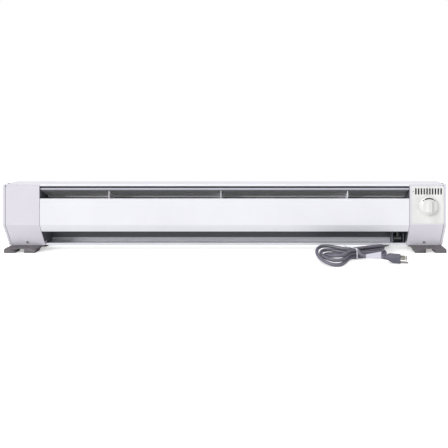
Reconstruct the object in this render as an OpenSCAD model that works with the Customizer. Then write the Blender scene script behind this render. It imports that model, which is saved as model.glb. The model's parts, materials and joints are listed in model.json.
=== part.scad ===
// Portable baseboard convection heater with a bundled mains cord.
// Millimetres, +Z up, -Y towards the front. The origin is on the floor, at the
// centre of the overall footprint of the case, its feet and the bundled cord.

/* [Case] */
// Length of the case over both end plates
case_length = 1219; // [1180:1:1500]
// Height of the case, without its feet
case_height = 176; // [174:1:184]
// Depth of the case at its top
case_depth = 70; // [70:1:80]
// Height of the knee where the front starts to slope back
knee_height = 64; // [60:1:66]
// Distance that the lower front edge is set back
toe_recess = 30; // [28:1:32]
// Thickness of the sheet steel
sheet = 1; // [0.8:0.1:1]
// Inside radius of a bend in the sheet
bend_radius = 1.2; // [0.8:0.1:1.2]

/* [Slots] */
// Depth of the lip between the case's top and the outlet slot
top_lip = 5; // [4:0.5:6]
// Distance from the case's top to the upper edge of the front panel
outlet_drop = 39; // [37:1:41]
// Height of the front panel's lower edge
inlet_top = 43; // [40:1:46]
// Height of the lip along the front of the floor
floor_lip = 6.5; // [5.5:0.5:8]
// Places of the three brackets, from the middle of the case
bracket_x = [-320, -11, 339];

/* [End caps] */
// Width of an end cap and the edge strip outside it
cap_width = 101; // [101:1:104]
// Width of the end plate's strip along the front
edge_strip = 7; // [5:0.5:8]
// Distance from the case's end to the knob's axis
knob_inset = 50.5; // [49:0.5:52]
// Distance from the case's top to the knob's axis
knob_drop = 59; // [57:1:61]
// Number of vent slots above the knob
vent_count = 10; // [4:1:10]
// Distance between vent slots
vent_pitch = 7.7; // [6:0.1:7.7]
// Height of a vent slot
vent_height = 17; // [8:0.1:17]

/* [Knob] */
// Diameter of the knob's skirt
knob_diameter = 53; // [44:1:54]
// Diameter of the thermostat's shaft
shaft_diameter = 6; // [5:0.5:6.5]

/* [Heating element] */
// Diameter of the element's sheath
element_diameter = 8.4; // [7:0.1:9]
// Distance between fins
fin_pitch = 10; // [8:1:20]
// Height of a fin
fin_height = 54; // [44:1:56]
// Width of a fin
fin_width = 46; // [40:1:50]

/* [Feet] */
// Height of the feet under the case
foot_height = 16; // [15:0.5:20]
// Distance that a foot stands out behind the case
foot_back = 25; // [22:1:30]

/* [Mains cord] */
// Diameter of the cord
cord_diameter = 9; // [8:0.1:9]
// Turns in the bundle
cord_turns = 3; // [2:1:3]
// Half the length of the bundle
bundle_half = 96; // [92:1:110]
// Half the width of the bundle's wide end
bundle_lobe = 50; // [46:1:54]
// Angle of the bundle to the case
bundle_angle = 15.6; // [8:0.1:18]
// Distance that the bundle reaches in front of the case
cord_reach = 106; // [104:1:120]
// Angle of the plug to the case
plug_angle = -16; // [-20:1:-10]

/* [Hidden] */

paint = [0.94, 0.94, 0.96];
plate_paint = [0.90, 0.90, 0.90];
dark_paint = [0.35, 0.35, 0.38];
foot_grey = [0.50, 0.48, 0.49];
cord_grey = [0.46, 0.45, 0.50];

$fn = 48;
clear = 0.1;       // gap between neighbouring pieces
running = 0.05;    // radial gap of a turning fit
bend_steps = 4;    // straight pieces in a sheet-metal bend

half_length = case_length / 2;
cap_in = half_length - cap_width;            // inner edge of an end cap
seam = 0.8;                                  // visible gap between a cap and its neighbours
panel_half = cap_in - seam;                  // half the length of what lies between the caps
front_y = (cord_reach - case_depth - foot_back) / 2;
panel_top = case_height - outlet_drop;
under_top = case_height - sheet - clear;     // just below the top sheet
skin = sheet / 2;                            // depth of a sheet's middle

bulkhead_x = cap_in + sheet + 2 * clear;
element_r = element_diameter / 2;
element_at = [40, 78];                       // [depth, height] of the element's axis
capillary_at = [40, 113];
return_at = [62, 150];
knob_x = half_length - knob_inset;
knob_z = case_height - knob_drop;
plate_t = 0.8;
plate_margin = 5.5;                          // control plate's distance from the cap's inner edge
shaft_r = shaft_diameter / 2;

cap_screw_x = half_length - 53.5;
cap_screw_z = 10.7;
top_screw_x = half_length - 5.5;
top_screw_depth = 16;
foot_in = half_length - 92.5;                // inner end of a foot
foot_width = 99.5;
foot_front = 10;                             // a foot's front, behind the case's front plane
foot_floor_t = 4.4;                          // thickness of the foot above its arch
foot_screw_x = foot_in + 51;
foot_screw_depths = [44, 60];
screw_r = 1.8;

tip_x = [cap_in - 38, cap_in - 6];          // ends of the tip-over switch
tip_axis = [48, 36];                         // [depth, height] of its pivot
tip_pin_r = 2;

cord_r = cord_diameter / 2;
cord_lift = 1;                               // the tie passes under the cord
cord_step = cord_diameter + 0.2;             // from one turn to the one above it
cord_exit = [cap_in + 18.5, 24];             // [x, height] of the strain relief
tie_half = cord_r + 1;                       // half the distance between strands at the tie
small_end = cord_r + 5.5;                    // radius of the bundle's narrow end
lobe_length = 34;                            // length of the rounded part of the wide end
lobe_fall = 6;                               // each turn of the wide end is this much smaller
turn_shift = 5;                              // and its middle this much closer to the tie
end_shift = cord_diameter + 1;               // between the turns at the narrow end
plug_neck = [420, -66];                      // [x, depth] of the plug's narrow end
plug_z = 13;
plug_length = 43;

// ---- Shared geometry ----

function unit(v) = v / norm(v);
function turned_left(v) = [-v[1], v[0]];
function flip(list) = [for (i = [len(list) - 1 : -1 : 0]) list[i]];
function short_way(angle) = angle > 180 ? angle - 360 : angle < -180 ? angle + 360 : angle;
function ease(from, to, t) = from + (to - from) * (1 - cos(180 * min(1, max(0, t)))) / 2;

// Arc that rounds the corner b between its neighbours a and c
function bend(a, b, c, r) =
    let(back = unit(a - b), ahead = unit(c - b), half = acos(back * ahead) / 2,
        centre = b + unit(back + ahead) * r / sin(half),
        first = b + back * r / tan(half) - centre,
        last = b + ahead * r / tan(half) - centre,
        start = atan2(first[1], first[0]),
        sweep = short_way(atan2(last[1], last[0]) - start))
    [for (i = [0 : bend_steps])
        let(angle = start + sweep * i / bend_steps) centre + r * [cos(angle), sin(angle)]];

// Path with every inner corner rounded
function rounded(path, r) = concat([path[0]],
    [for (i = [1 : len(path) - 2]) each bend(path[i - 1], path[i], path[i + 1], r)],
    [path[len(path) - 1]]);

// Path moved sideways by d to its left, with mitred corners
function side(path, d) =
    let(last = len(path) - 1)
    [for (i = [0 : last])
        let(before = turned_left(unit(path[max(i, 1)] - path[max(i, 1) - 1])),
            after = turned_left(unit(path[min(i, last - 1) + 1] - path[min(i, last - 1)])))
        path[i] + d * (before + after) / (1 + before * after)];

// Bent sheet whose middle follows a path of [depth, height] points
module bent_sheet(path) {
    line = rounded(path, bend_radius + skin);
    polygon(concat(side(line, skin), flip(side(line, -skin))));
}

// Places a [depth, height] outline upright and draws it out along X
module along_x(from, to) {
    translate([from, 0, 0]) rotate([90, 0, 90]) linear_extrude(to - from) children();
}

module in_case() {
    translate([0, front_y, foot_height]) children();
}

module both_ends() {
    children();
    mirror([1, 0, 0]) children();
}

// Cylinder along X through a [depth, height] point
module rod_x(from, to, at, r) {
    translate([from, at[0], at[1]]) rotate([0, 90, 0]) cylinder(h = to - from, r = r);
}

// Pan-head screw: its head stands on z = 0 and its shank goes down
module pan_screw(shank, head_r = 3.5, head_h = 1.7) {
    recess = 0.8;
    difference() {
        cylinder(h = head_h, r1 = head_r, r2 = head_r * 0.78);
        for (turn = [0, 90])
            rotate([0, 0, turn + 20])
                translate([-head_r * 0.6, -0.4, head_h - recess]) cube([head_r * 1.2, 0.8, recess + 1]);
    }
    translate([0, 0, -shank]) cylinder(h = shank, r = screw_r);
}

// Clearance hole through sheet near z = 0
module screw_hole() {
    cylinder(h = 8, r = screw_r + clear, center = true);
}

// Points of a cubic curve
function curve(a, b, c, d, steps) = [for (i = [0 : steps])
    let(t = i / steps, s = 1 - t) s*s*s * a + 3*s*s*t * b + 3*s*t*t * c + t*t*t * d];

// Closed tube that follows a path of [x, y, z] points, none of them straight above another
module swept_tube(path, r, sides) {
    last = len(path) - 1;
    points = [for (i = [0 : last])
        let(ahead = unit(path[min(i + 1, last)] - path[max(i - 1, 0)]),
            across = unit(cross(ahead, [0, 0, 1])), up = cross(across, ahead))
        for (k = [0 : sides - 1])
            path[i] + r * (cos(360 * k / sides) * across + sin(360 * k / sides) * up)];
    walls = [for (i = [0 : last - 1], k = [0 : sides - 1])
        let(near = i * sides, far = near + sides, next = (k + 1) % sides)
        each [[near + k, near + next, far + next], [near + k, far + next, far + k]]];
    start = [for (k = [sides - 1 : -1 : 0]) k];
    end = [for (k = [0 : sides - 1]) last * sides + k];
    polyhedron(points, concat([start], walls, [end]));
}

// ---- The front slope ----

slope = unit([toe_recess, -knee_height]);    // down the slope
inward = turned_left(slope);                 // square to the slope, into the case
// Point on the slope at a height, sunk by a depth square to the slope
function on_slope(height, depth = 0) = [toe_recess * (1 - height / knee_height), height] + depth * inward;
// The knee, sunk by a depth square to both faces
function knee(depth) = [depth, knee_height + depth * inward[1] / (1 + inward[0])];
// The front from the top down to a height, sunk by a depth
function front_line(top, foot, depth = 0) = side([[0, top], [0, knee_height], on_slope(foot)], depth);

// Moves +Z to stand out square from the slope at a height
module on_slope_at(x, height) {
    at = on_slope(height);
    translate([x, at[0], at[1]]) rotate([90 + atan2(toe_recess, knee_height), 0, 0]) children();
}

// ---- Casing ----

module case_shell() {
    lip = toe_recess + skin;
    back = case_depth - skin;
    top = case_height - skin;
    end = half_length - sheet - clear;
    body = [[lip, floor_lip], [lip, skin], [back, skin], [back, top], [skin, top],
        [skin, case_height - top_lip]];
    tab_depth = 1.6 * sheet;
    tab = [[45, skin], on_slope(skin - tab_depth * inward[1], tab_depth), on_slope(15, tab_depth)];
    color(paint) in_case() difference() {
        union() {
            difference() {
                along_x(-end, end) bent_sheet(body);
                both_ends() translate([panel_half + clear, -1, -1]) {
                    cube([cap_width, 3.4, case_height - sheet + 1]);
                    cube([cap_width, toe_recess + 3.6, floor_lip + 4]);
                }
            }
            both_ends() along_x(cap_screw_x - 11, cap_screw_x + 11) bent_sheet(tab);
        }
        both_ends() on_slope_at(cap_screw_x, cap_screw_z) screw_hole();
        both_ends() translate([top_screw_x, top_screw_depth, case_height]) screw_hole();
        both_ends() for (depth = foot_screw_depths) translate([foot_screw_x, depth, 0]) screw_hole();
        translate([earth_at[0], earth_at[1], 0]) screw_hole();
        translate([cord_exit[0], case_depth, cord_exit[1]]) rotate([90, 0, 0])
            cylinder(h = 8, r = relief_r + clear, center = true);
    }
}

module front_panel() {
    hem_gap = 4;
    edge = on_slope(inlet_top + 0.5, skin);
    fold = edge + hem_gap * inward;
    path = [[skin + hem_gap, panel_top - 7], [skin + hem_gap, panel_top - skin], [skin, panel_top - skin],
        knee(skin), edge, fold, fold - 7 * slope];
    color(paint) in_case() along_x(-panel_half, panel_half) bent_sheet(path);
}

deflector_front = [3, case_height - 15];
deflector_step = [44, panel_top];
deflector_low = [44, panel_top - 3.8];
deflector_back = [case_depth - 1.7, case_height - 51];

module air_deflector() {
    path = [deflector_front + [0, 5], deflector_front, deflector_step, deflector_low,
        deflector_back, deflector_back - [0, 13]];
    color(dark_paint) in_case() along_x(-panel_half, panel_half) bent_sheet(path);
}

module panel_brackets() {
    thick = 1.2;
    front = 5.5;
    below = 1.7;                             // clearance under the deflector's bends
    low = knee_height + 2;
    fall = (deflector_step[1] - deflector_front[1]) / (deflector_step[0] - deflector_front[0]);
    flange_low = 100;
    plate = [[front, low], [front, deflector_front[1] + fall * (front - deflector_front[0]) - below],
        for (corner = [deflector_step, deflector_low, deflector_back]) corner - [below, below],
        [deflector_back[0] - below, low]];
    flange_top = panel_top + 20;
    color(paint) in_case() for (x = bracket_x) difference() {
        union() {
            along_x(x - thick / 2, x + thick / 2) polygon(plate);
            translate([x - thick / 2, front, flange_low]) cube([1.9, thick, flange_top - flange_low]);
        }
        rod_x(x - thick, x + thick, element_at, element_r + 2.3);
        rod_x(x - thick, x + thick, capillary_at, 2.2);
    }
}

module end_cap() {
    top_flange = 10;
    side_flange = 12;
    low = 0.2;
    outer = half_length - edge_strip - seam;
    notch = 2.4;                             // relief cut in the outer top corner
    path = [[top_flange, under_top - skin], [skin, under_top - skin], knee(skin), on_slope(low, skin)];
    flange = concat(front_line(under_top - 2, 1.5), flip(front_line(under_top - 2, 1.5, side_flange)));
    difference() {
        union() {
            along_x(cap_in, outer) bent_sheet(path);
            along_x(cap_in, cap_in + sheet) polygon(flange);
        }
        on_slope_at(cap_screw_x, cap_screw_z) screw_hole();
        translate([outer - notch, -1, under_top - 2 * notch]) cube([notch + 1, 3, notch]);
    }
}

vents_z = case_height - 10.8 - vent_height;
// Vent slots above the knob, cut to any depth
module vents(depth) {
    width = 4.2;
    centre = knob_x + 1;
    for (i = [0 : vent_count - 1])
        translate([centre + (i - (vent_count - 1) / 2) * vent_pitch - width / 2, -depth / 2, vents_z])
            cube([width, depth, vent_height]);
}

thermostat_screw_gap = 28;                   // between the two screws, across the shaft
// Holes for the vents, the thermostat's neck, its screws and a small air hole
module control_holes() {
    vents(8);
    at_knob() cylinder(h = 8, r = 5.2, center = true);
    for (s = [-1, 1]) at_knob() translate([0, s * thermostat_screw_gap / 2, 0]) screw_hole();
    translate([cap_in + 9.5, 0, case_height - 20]) rotate([90, 0, 0]) cylinder(h = 8, r = 1.5, center = true);
}

// Places children on the knob's axis, with +Z pointing out of the front
module at_knob() {
    translate([knob_x, 0, knob_z]) rotate([90, 0, 0]) children();
}

module left_end_cap() {
    color(paint) in_case() mirror([1, 0, 0]) end_cap();
}

module right_end_cap() {
    color(paint) in_case() difference() {
        end_cap();
        control_holes();
    }
}

module end_plate() {
    outline = [[toe_recess, 0], [case_depth, 0], [case_depth, case_height], [0, case_height],
        [0, knee_height]];
    low = 1.1;
    tab = 14;                                // tab under the top that takes the top screw
    tab_front = 11;
    tab_length = 30;
    difference() {
        union() {
            along_x(half_length - sheet, half_length) polygon(outline);
            along_x(half_length - edge_strip, half_length - skin)
                polygon(concat(front_line(under_top, low), flip(front_line(under_top, low, sheet))));
            translate([half_length - tab, tab_front, under_top - sheet])
                cube([tab - skin, tab_length, sheet]);
        }
        translate([top_screw_x, top_screw_depth, under_top]) screw_hole();
    }
}

module left_end_plate() {
    color(paint) in_case() mirror([1, 0, 0]) end_plate();
}

module right_end_plate() {
    color(paint) in_case() end_plate();
}

module bulkhead(grommets) {
    gap = 2.4;
    front = front_line(under_top - gap, sheet + gap, sheet + 2 * clear);
    back = case_depth - sheet - clear;
    difference() {
        along_x(bulkhead_x, bulkhead_x + sheet)
            polygon(concat(front, [[back, sheet + gap], [back, under_top - gap]]));
        rod_x(bulkhead_x - 1, bulkhead_x + 3, element_at, bushing_r + running);
        for (at = grommets) rod_x(bulkhead_x - 1, bulkhead_x + 3, at, grommet_r + running);
    }
}

bushing_r = 8;
grommet_r = 5;
tip_lead_at = [60, 50];
left_grommets = [return_at];
right_grommets = [return_at, capillary_at, tip_lead_at];

module left_bulkhead() {
    color(dark_paint) in_case() mirror([1, 0, 0]) bulkhead(left_grommets);
}

module right_bulkhead() {
    color(dark_paint) in_case() bulkhead(right_grommets);
}

module control_plate() {
    low = knee_height + 4.5;
    width = cap_width - edge_strip - plate_margin - 0.3;
    height = under_top - 3.5 - low;
    color(plate_paint) in_case() difference() {
        translate([cap_in + plate_margin, -plate_t - 0.02, low]) cube([width, plate_t, height]);
        control_holes();
    }
}

module end_cap_screws() {
    color("silver") in_case() both_ends() on_slope_at(cap_screw_x, cap_screw_z) pan_screw(6);
}

module top_screws() {
    color("silver") in_case() both_ends() translate([top_screw_x, top_screw_depth, case_height]) pan_screw(7);
}

// ---- Feet ----

module foot() {
    deck = foot_height - foot_floor_t;       // height of the arch
    shoulder = 15;
    inner_toe = [11, 40];
    outer_toe = [66, foot_width];
    toe_depth = 24;                          // front to back, for the toes at the front and at the back
    outline = concat(
        [[0, foot_height], [0, foot_height - 1.5], [inner_toe[0] - 5, deck - 3], [inner_toe[0], 0],
            [inner_toe[1], 0], [inner_toe[1], deck], [outer_toe[0] - 7, deck], [outer_toe[0] - 2, deck - 4],
            [outer_toe[0], 0], [outer_toe[1], 0]],
        [for (a = [0 : 15 : 90])
            [foot_width - shoulder, foot_height - shoulder] + shoulder * [cos(a), sin(a)]]);
    front = foot_front;
    back = case_depth + foot_back;
    flank = [[front + 1, 0], [back - 1, 0], [back, 3], [back, foot_height - 4], [case_depth + 2, foot_height],
        [toe_recess - 1, foot_height], [front, foot_height - 3.5], [front, 2]];
    corner = 8;
    rake = 9;                                // the inner side leans outwards towards the back
    plan = concat([[0, front + 10], [9, front]],
        [for (a = [-90 : 15 : 0]) [foot_width - corner, front + corner] + corner * [cos(a), sin(a)]],
        [for (a = [0 : 15 : 90]) [foot_width - corner, back - corner] + corner * [cos(a), sin(a)]],
        [[rake + 9, back], [rake, back - 10]]);
    translate([foot_in, front_y, 0]) difference() {
        intersection() {
            translate([0, 200, 0]) rotate([90, 0, 0]) linear_extrude(300) polygon(outline);
            along_x(-5, foot_width + 5) polygon(flank);
            translate([0, 0, -5]) linear_extrude(foot_height + 10) polygon(plan);
        }
        translate([-1, front + toe_depth, -1]) cube([foot_width + 2, back - front - 2 * toe_depth, deck + 1]);
        for (depth = foot_screw_depths)
            translate([foot_screw_x - foot_in, depth, -1]) cylinder(h = foot_height + 5, r = screw_r + clear);
    }
}

module left_foot() {
    color(foot_grey) mirror([1, 0, 0]) foot();
}

module right_foot() {
    color(foot_grey) foot();
}

module foot_screws() {
    color("silver") both_ends() for (depth = foot_screw_depths)
        translate([foot_screw_x, front_y + depth, foot_height - foot_floor_t])
            rotate([180, 0, 0]) pan_screw(9);
}

// ---- Thermostat ----

knob_base = plate_t + 1;                     // from the front plane to the knob's skirt

module thermostat_knob() {
    skirt_r = knob_diameter / 2;
    face_r = skirt_r - 7;
    skirt_h = 10;
    grip = [19, 33, 14];
    wall = 2;
    color("white") in_case() at_knob() translate([0, 0, knob_base]) difference() {
        union() {
            cylinder(h = 2.5, r = skirt_r);
            translate([0, 0, 2.5]) cylinder(h = skirt_h - 2.5, r1 = skirt_r, r2 = face_r);
            intersection() {
                translate([0, 0, skirt_h + grip[2] / 2]) cube(grip, center = true);
                translate([0, 0, skirt_h]) cylinder(h = grip[2] / 2, r1 = face_r, r2 = grip[1] / 2 - 2);
            }
        }
        difference() {
            translate([0, 0, -1]) union() {
                cylinder(h = 3, r = skirt_r - wall);
                translate([0, 0, 2.99]) cylinder(h = skirt_h - 5, r1 = skirt_r - wall, r2 = face_r - wall);
            }
            cylinder(h = skirt_h, r = shaft_r + 3);
        }
        difference() {
            translate([0, 0, -2]) cylinder(h = skirt_h + 5, r = shaft_r + 0.02);
            translate([-shaft_r, shaft_r - 0.78, -3]) cube([2 * shaft_r, 5, skirt_h + 10]);
        }
    }
}

module thermostat_shaft() {
    color("gold") in_case() at_knob() difference() {
        translate([0, 0, -14]) cylinder(h = 14 + knob_base + 12, r = shaft_r);
        translate([-shaft_r - 1, shaft_r - 0.8, knob_base - 1]) cube([2 * shaft_r + 2, 5, 20]);
    }
}

thermostat_size = [40, 44, 30];              // width, height and depth

module thermostat_body() {
    front = sheet + clear;
    bore = shaft_r + running;
    color([0.15, 0.15, 0.16]) in_case() at_knob() difference() {
        union() {
            translate([-thermostat_size[0] / 2, -thermostat_size[1] / 2, -front - thermostat_size[2]])
                cube([thermostat_size[0], thermostat_size[1], thermostat_size[2]]);
            translate([0, 0, -front - 1]) cylinder(h = front + 1, r = 5);
        }
        translate([0, 0, -16]) cylinder(h = 20, r = bore);
        for (s = [-1, 1]) translate([0, s * thermostat_screw_gap / 2, -8])
            cylinder(h = 10, r = screw_r + 0.02);
        for (s = [-1, 1]) translate([s * terminal_half, 0, -front - thermostat_size[2] + 1])
            cube([6.4, 1.0, 8], center = true);
    }
}

terminal_half = 8;                           // half the distance between the thermostat's terminals
thermostat_back = thermostat_size[2] + sheet + clear;

module thermostat_terminals() {
    color("gold") in_case() at_knob() for (s = [-1, 1])
        translate([s * terminal_half, 0, -thermostat_back - 2.4]) cube([6.3, 0.8, 11], center = true);
}

module thermostat_screws() {
    color("silver") in_case() at_knob() for (s = [-1, 1])
        translate([0, s * thermostat_screw_gap / 2, plate_t + 0.03]) pan_screw(6, head_r = 2.8, head_h = 0.7);
}

bulb_at = [18, 60];                          // [depth, height] of the bulb's middle

module sensing_bulb() {
    bulb_r = 3;
    bulb_x = bulkhead_x + 12;
    top = bulb_at[1] + 18;
    tail = [knob_x - 12, 20, knob_z - thermostat_size[1] / 2 - 0.3];
    color("peru") in_case() union() {
        translate([bulb_x, bulb_at[0], bulb_at[1] - 22]) cylinder(h = 40, r = bulb_r);
        swept_tube(curve([bulb_x, bulb_at[0], top - 1], [bulb_x + 1, bulb_at[0], top + 12],
            tail - [6, 0, 14], tail, 10), 0.8, 6);
    }
}

// ---- Heating element ----

sheath_end = bulkhead_x + 22;

module element_sheath() {
    color("dimgray") in_case() difference() {
        rod_x(-sheath_end, sheath_end, element_at, element_r);
        for (s = [-1, 1]) rod_x(s * sheath_end - 6, s * sheath_end + 6, element_at, 2.2);
    }
}

module element_fins() {
    thick = 0.8;
    reach = tip_x[0] - 14;
    count = floor((reach + panel_half - 40) / fin_pitch);
    bracket_gap = 5;
    color([0.80, 0.81, 0.83]) in_case() difference() {
        union() {
            rod_x(reach - count * fin_pitch, reach, element_at, element_r + 1);
            for (i = [0 : count]) {
                x = reach - i * fin_pitch;
                near = min([for (b = bracket_x) abs(x - b)]);
                if (near > bracket_gap)
                    translate([x, element_at[0], element_at[1]])
                        cube([thick, fin_width, fin_height], center = true);
            }
        }
        rod_x(-half_length, half_length, element_at, element_r + 0.02);
    }
}

module element_terminals() {
    color("silver") in_case() both_ends() {
        rod_x(sheath_end - 5.9, sheath_end + 12, element_at, 2.1);
        rod_x(sheath_end + 2, sheath_end + 4, element_at, 4);
    }
}

module element_bushings() {
    color("ivory") in_case() both_ends() difference() {
        union() {
            rod_x(bulkhead_x - 4, bulkhead_x + 8, element_at, bushing_r);
            rod_x(bulkhead_x + sheet + clear, bulkhead_x + sheet + 3, element_at, bushing_r + 3);
        }
        rod_x(bulkhead_x - 5, bulkhead_x + 9, element_at, element_r + 0.02);
    }
}

limit_box = [[half_length - 50, 46, 138], [26, 20, 18]];   // corner and size

module limit_switch() {
    color([0.75, 0.70, 0.60]) in_case() union() {
        translate(limit_box[0]) cube(limit_box[1]);
        translate(limit_box[0] + [5, -5, 9]) cube([5, 6, 1]);
        translate(limit_box[0] + [16, -5, 9]) cube([5, 6, 1]);
    }
}

module limit_capillary() {
    start = [bulkhead_x + 8, capillary_at[0], capillary_at[1]];
    end = limit_box[0] + [-0.4, 10, 4];
    color("peru") in_case() union() {
        rod_x(-panel_half + 12, start[0], capillary_at, 1.2);
        swept_tube(curve(start - [1, 0, 0], start + [18, 0, 0], end - [22, 0, 0], end, 10), 1.1, 6);
    }
}

// ---- Tip-over switch ----

tip_width = 24;                              // front-to-back size of its frame
tip_height = 44;
tip_floor = sheet + clear;
tip_gap = 6;                                // from the frame's ears to the pendulum

module tip_switch_frame() {
    thick = 1.2;
    front = tip_axis[0] - tip_width / 2;
    length = tip_x[1] - tip_x[0];
    color(dark_paint) in_case() difference() {
        translate([tip_x[0], front, tip_floor]) difference() {
            cube([length, tip_width, tip_height]);
            translate([thick, -1, thick]) cube([length - 2 * thick, tip_width + 2, tip_height - 2 * thick]);
            translate([length / 2, tip_width / 2, tip_height - 3]) cylinder(h = 10, r = 2);
        }
        rod_x(tip_x[0] - 1, tip_x[1] + 1, tip_axis, tip_pin_r + 0.02);
    }
}

module tip_switch_pin() {
    color("silver") in_case() union() {
        rod_x(tip_x[0] - 1, tip_x[1] + 1, tip_axis, tip_pin_r);
        rod_x(tip_x[0] - 1.5, tip_x[0] - clear, tip_axis, tip_pin_r + 1.2);
        rod_x(tip_x[1] + clear, tip_x[1] + 1.5, tip_axis, tip_pin_r + 1.2);
    }
}

module tip_switch_pendulum() {
    from = tip_x[0] + tip_gap;
    to = tip_x[1] - tip_gap;
    drop = 20;
    color("dimgray") in_case() difference() {
        union() {
            rod_x(from, to, tip_axis, tip_pin_r + 2.5);
            rod_x(from, to, tip_axis - [0, drop], 8);
            translate([(from + to) / 2 - 2, tip_axis[0] - 5, tip_axis[1] - drop]) cube([4, 10, drop]);
        }
        rod_x(from - 1, to + 1, tip_axis, tip_pin_r + running);
    }
}

module tip_microswitch() {
    middle = (tip_x[0] + tip_x[1]) / 2;
    base = tip_floor + tip_height + clear;
    color([0.12, 0.12, 0.13]) in_case() union() {
        translate([middle - 14, tip_axis[0] - 5, base]) cube([28, 10, 15]);
        translate([middle, tip_axis[0], base - 4]) cylinder(h = 5, r = 1.2);
    }
}

// ---- Wiring ----

nut_at = [[half_length - 34, 40, 42], [half_length - 20, 40, 42]];
earth_at = [half_length - 64, 57];           // [x, depth]
cord_tip = [cord_exit[0], 50, cord_exit[1]]; // end of the cord's sheath inside the case
lead_r = 1.2;

// Insulated wire in one free curve
module lead(from, by, towards, to) {
    swept_tube(curve(from, from + by, to + towards, to, 12), lead_r, 6);
}

module return_wire() {
    left_end = [-sheath_end - 9, element_at[0] + 4, element_at[1] + 5];
    color("firebrick") in_case() union() {
        rod_x(-bulkhead_x - 12, bulkhead_x + 12, return_at, lead_r);
        swept_tube(curve([-bulkhead_x - 11, return_at[0], return_at[1]],
            [-bulkhead_x - 40, return_at[0], return_at[1]],
            left_end + [-25, 0, 10], left_end, 12), lead_r, 6);
        swept_tube(curve([bulkhead_x + 11, return_at[0], return_at[1]],
            [bulkhead_x + 40, return_at[0], return_at[1]], nut_at[1] + [3, 22, 60],
            nut_at[1] + [0, 14, 14], 12), lead_r, 6);
    }
}

module live_lead() {
    color([0.1, 0.1, 0.1]) in_case()
        lead(cord_tip + [2.2, -0.9, 1], [2, -14, 0], [-3, -3, -22], nut_at[0] - [0, 0, 0.8]);
}

module neutral_lead() {
    color("white") in_case()
        lead(cord_tip + [2.2, -0.9, -2], [6, -16, -6], [-3, -3, -28], nut_at[1] - [0, 0, 0.8]);
}

module earth_lead() {
    color("green") in_case()
        lead(cord_tip + [-2.2, -0.9, -1], [0, -18, -4], [-16, -2, 3], [earth_at[0] - 5.2, earth_at[1], 6]);
}

module control_leads() {
    depth = thermostat_back + 8.2;
    color([0.1, 0.1, 0.1]) in_case() union() {
        lead(nut_at[0] + [3, 0, 23], [0, 0, 20], [6, 14, -6], [knob_x + terminal_half, depth + 1.5, knob_z]);
        lead([knob_x - terminal_half, depth + 1.5, knob_z], [-3, 14, 4], [3, -14, 2],
            limit_box[0] + [7.5, -6.4, 9.5]);
        lead([sheath_end + 13.5, element_at[0], element_at[1]], [10, 22, 20], [2, 6, -30],
            limit_box[0] + [18.5, -6.4, 9.5]);
    }
}

module tip_lead() {
    from = [(tip_x[0] + tip_x[1]) / 2, tip_axis[0] + 6, tip_floor + tip_height + 8];
    through = [bulkhead_x, tip_lead_at[0], tip_lead_at[1]];
    to = nut_at[0] + [-3.6, 0, -0.8];
    color([0.1, 0.1, 0.1]) in_case() union() {
        swept_tube(curve(from, from + [3, 6, 0], through - [12, 0, 0], through - [1, 0, 0], 8), lead_r, 6);
        rod_x(bulkhead_x - 2, bulkhead_x + sheet + 2, tip_lead_at, lead_r);
        swept_tube(curve(through + [2, 0, 0], through + [14, 0, 0], to - [4, 2, 14], to, 10), lead_r, 6);
    }
}

module wire_connectors() {
    color("goldenrod") in_case() for (at = nut_at) translate(at) cylinder(h = 20, r1 = 5.5, r2 = 3.5);
}

module earth_screw() {
    color("green") in_case() translate([earth_at[0], earth_at[1], sheet]) pan_screw(0.9 * sheet);
}

module bulkhead_grommets() {
    color([0.1, 0.1, 0.1]) in_case() {
        for (at = right_grommets) grommet(at);
        mirror([1, 0, 0]) for (at = left_grommets) grommet(at);
    }
}

module grommet(at) {
    difference() {
        union() {
            rod_x(bulkhead_x - 1, bulkhead_x + sheet + 1, at, grommet_r);
            rod_x(bulkhead_x - 1, bulkhead_x - 0.02, at, grommet_r + 1.5);
            rod_x(bulkhead_x + sheet + 0.02, bulkhead_x + sheet + 1, at, grommet_r + 1.5);
        }
        rod_x(bulkhead_x - 2, bulkhead_x + sheet + 2, at, lead_r + 0.3);
    }
}

relief_r = 7.4;

module strain_relief() {
    flange_r = relief_r + 2;
    flange_t = 3;
    at = [cord_exit[0], case_depth, cord_exit[1]];
    color([0.12, 0.12, 0.13]) in_case() translate(at) rotate([-90, 0, 0]) difference() {
        union() {
            translate([0, 0, -12]) cylinder(h = 18, r = relief_r);
            translate([0, 0, running]) cylinder(h = flange_t, r = flange_r);
            translate([0, 0, -sheet - running - flange_t]) cylinder(h = flange_t, r = flange_r);
        }
        translate([0, 0, -13]) cylinder(h = 30, r = cord_r + 0.05);
    }
}

// ---- Mains cord ----

cord_floor = cord_r + cord_lift;             // height of the lowest strand's middle
last_turn = cord_turns - 1;
right_arc = bundle_half - small_end;         // middle of the narrow end's first turn
left_arc = lobe_length - bundle_half;        // middle of the wide end's first turn
// The bundle's middle, placed so that its widest turn just reaches cord_reach
bundle_middle = [345, front_y - cord_reach + cord_r - left_arc * sin(bundle_angle)
    + norm([bundle_lobe * cos(bundle_angle), lobe_length * sin(bundle_angle)])];

// Each turn lies inside the one before it. In front it lies above that turn, behind it lies below.
function lobe_r(turn) = bundle_lobe - turn * lobe_fall;
function lobe_at(turn) = left_arc + turn * turn_shift;
function end_at(turn) = right_arc - turn * end_shift;
function near_level(turn) = cord_floor + turn * cord_step;
function far_level(turn) = near_level(last_turn - turn);
// Half the bundle's width, where end is the middle of that strand's narrow end
function half_width(along, turn, end) = along > 0
    ? ease(tie_half, small_end, along / end)
    : ease(tie_half, lobe_r(turn), along / lobe_at(turn));
// Point of the bundle: along its length, across it towards the front, and up
function in_bundle(along, across, up) =
    [bundle_middle[0] + along * cos(bundle_angle) + across * sin(bundle_angle),
     bundle_middle[1] + along * sin(bundle_angle) - across * cos(bundle_angle), up];

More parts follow.
